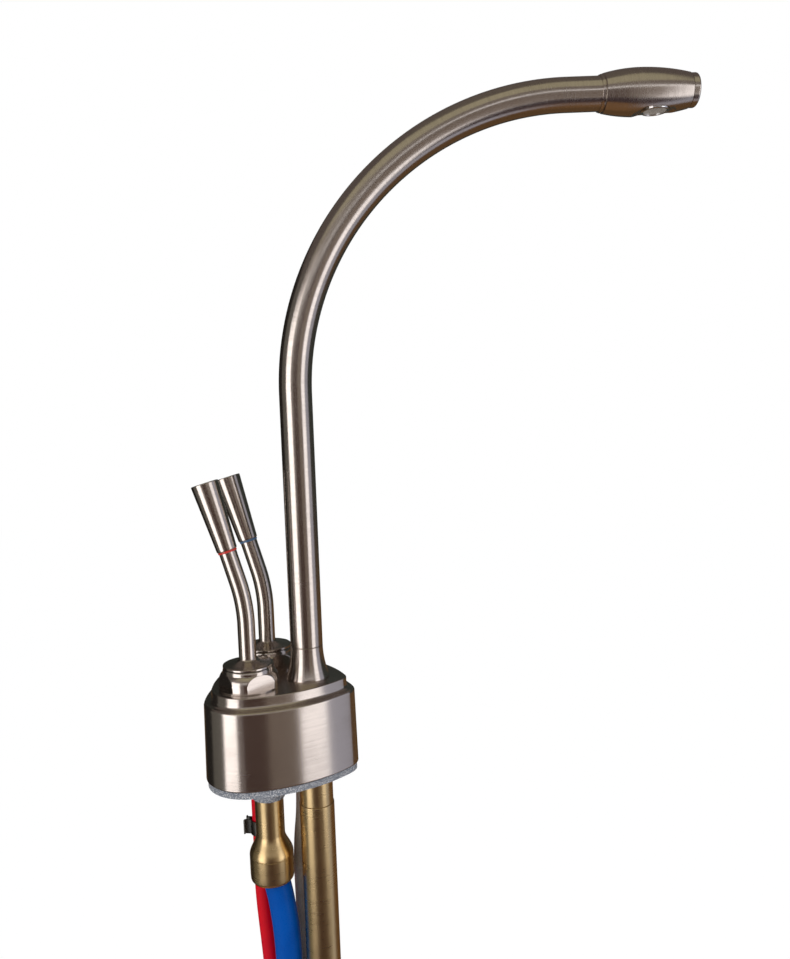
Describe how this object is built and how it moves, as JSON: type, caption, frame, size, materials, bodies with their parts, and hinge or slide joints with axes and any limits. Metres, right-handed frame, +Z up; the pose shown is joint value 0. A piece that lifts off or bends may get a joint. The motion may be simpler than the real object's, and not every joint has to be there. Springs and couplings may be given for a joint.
{
  "type": "boiling water tap",
  "caption": "Satin nickel boiling water tap with a swivelling gooseneck spout, twin lever valves for hot and cold, a brass shank and push-on supply tubes under a cast base plate.",
  "frame": {"origin": "centre of the round hole in the sink, on the sink's top face, where the base plate rests", "axes": "+Z up, the spout towards -Y, the hot lever at -X"},
  "size_m": [0.0657, 0.1848, 0.5874],
  "materials": {
    "satin_nickel": "satin, fine brushed grain",
    "cast_zinc": "rough as cast",
    "brass": "turned, slightly dulled",
    "stainless_steel": "plain",
    "black_rubber": "matte",
    "ceramic": "polished",
    "red_marking": "glossy",
    "blue_marking": "glossy",
    "chrome": "bright",
    "white_plastic": "moulded",
    "red_silicone": "satin, smooth",
    "clear_silicone": "milky, smooth",
    "blue_plastic": "satin, smooth",
    "blackened_steel": "blackened spring steel"
  },
  "bodies": {
    "base": {"base_plate": "cast_zinc", "body_shell": "satin_nickel", "valve_manifold": "brass", "manifold_screws": "stainless_steel", "shell_screws": "stainless_steel", "hot_cartridge": "brass", "cold_cartridge": "brass", "hot_cartridge_seal": "black_rubber", "cold_cartridge_seal": "black_rubber", "hot_fixed_disc": "ceramic", "cold_fixed_disc": "ceramic", "hot_bonnet": "satin_nickel", "cold_bonnet": "satin_nickel", "spout_collar": "satin_nickel", "shank_sleeve": "brass", "mounting_shank": "brass", "bell_fitting": "brass", "hot_tube_barb": "brass", "vent_tube_barb": "brass", "hot_hose_clip": "blackened_steel", "hot_tube": "red_silicone", "cold_tube": "blue_plastic", "vent_tube": "clear_silicone", "cold_tube_nut": "brass", "cold_tube_sleeve": "white_plastic", "hot_end_clip": "blackened_steel", "vent_end_clip": "blackened_steel"},
    "hot_lever": {"hot_stem": "brass", "hot_turning_disc": "ceramic", "hot_lever_cap": "satin_nickel", "hot_grub_screw": "stainless_steel", "hot_lever_rod": "satin_nickel", "hot_ring": "red_marking", "hot_grip": "satin_nickel"},
    "cold_lever": {"cold_stem": "brass", "cold_turning_disc": "ceramic", "cold_lever_cap": "satin_nickel", "cold_grub_screw": "stainless_steel", "cold_lever_rod": "satin_nickel", "cold_ring": "blue_marking", "cold_grip": "satin_nickel"},
    "spout": {"spout_tail": "brass", "spout_seals": "black_rubber", "spout_clip": "stainless_steel", "spout_tube": "satin_nickel", "outlet_head": "satin_nickel", "outlet_plug": "satin_nickel", "head_seal": "black_rubber", "aerator_housing": "chrome", "aerator_insert": "white_plastic", "aerator_washer": "black_rubber"}
  },
  "joints": [
    {"name": "hot_lever_turn", "type": "hinge", "parent": "base", "child": "hot_lever", "pos_m": [-0.012, 0.01, 0.0448], "axis": [0, 0, 1], "range_deg": [0, 90]},
    {"name": "cold_lever_turn", "type": "hinge", "parent": "base", "child": "cold_lever", "pos_m": [0.012, 0.01, 0.0448], "axis": [0, 0, 1], "range_deg": [-90, 0]},
    {"name": "spout_swivel", "type": "hinge", "parent": "base", "child": "spout", "pos_m": [0, -0.009, 0.0478], "axis": [0, 0, 1], "continuous": true}
  ]
}
